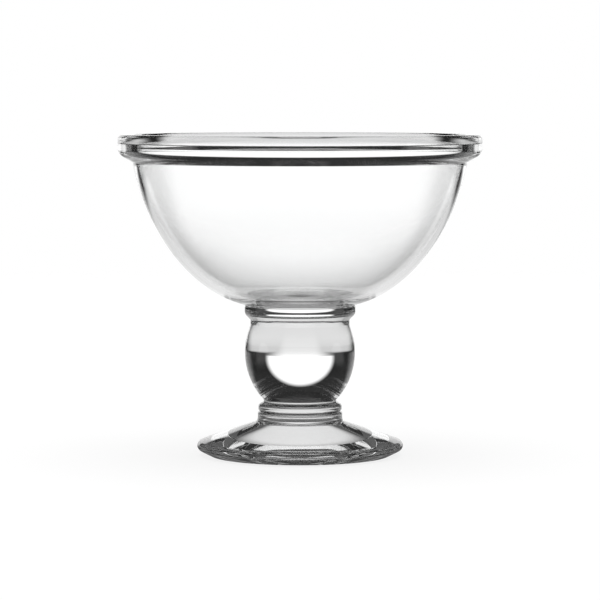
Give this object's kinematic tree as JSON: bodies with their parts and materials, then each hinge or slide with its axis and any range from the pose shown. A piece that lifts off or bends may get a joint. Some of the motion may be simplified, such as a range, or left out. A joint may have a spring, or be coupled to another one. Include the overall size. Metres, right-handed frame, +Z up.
{
  "type": "parfait glass",
  "caption": "Low footed dessert glass: wide thin bowl with a rolled rim, a solid ball in the stem between collars, and a hollow round foot.",
  "frame": {"origin": "centre of the circle that the foot's ring makes on the table", "axes": "+Z up the axis of the glass, from the table to the mouth; X and Y are level and alike, because the glass is round"},
  "size_m": [0.12, 0.12, 0.1059],
  "materials": {
    "foot_glass": "clear, fire polished",
    "stem_glass": "clear, fire polished",
    "bowl_glass": "clear, fire polished",
    "rim_glass": "clear, fire polished"
  },
  "bodies": {
    "root": {"foot": "foot_glass", "lower_collar": "stem_glass", "ball_knop": "stem_glass", "upper_collar": "stem_glass", "bowl": "bowl_glass", "rim_bead": "rim_glass"}
  },
  "joints": []
}
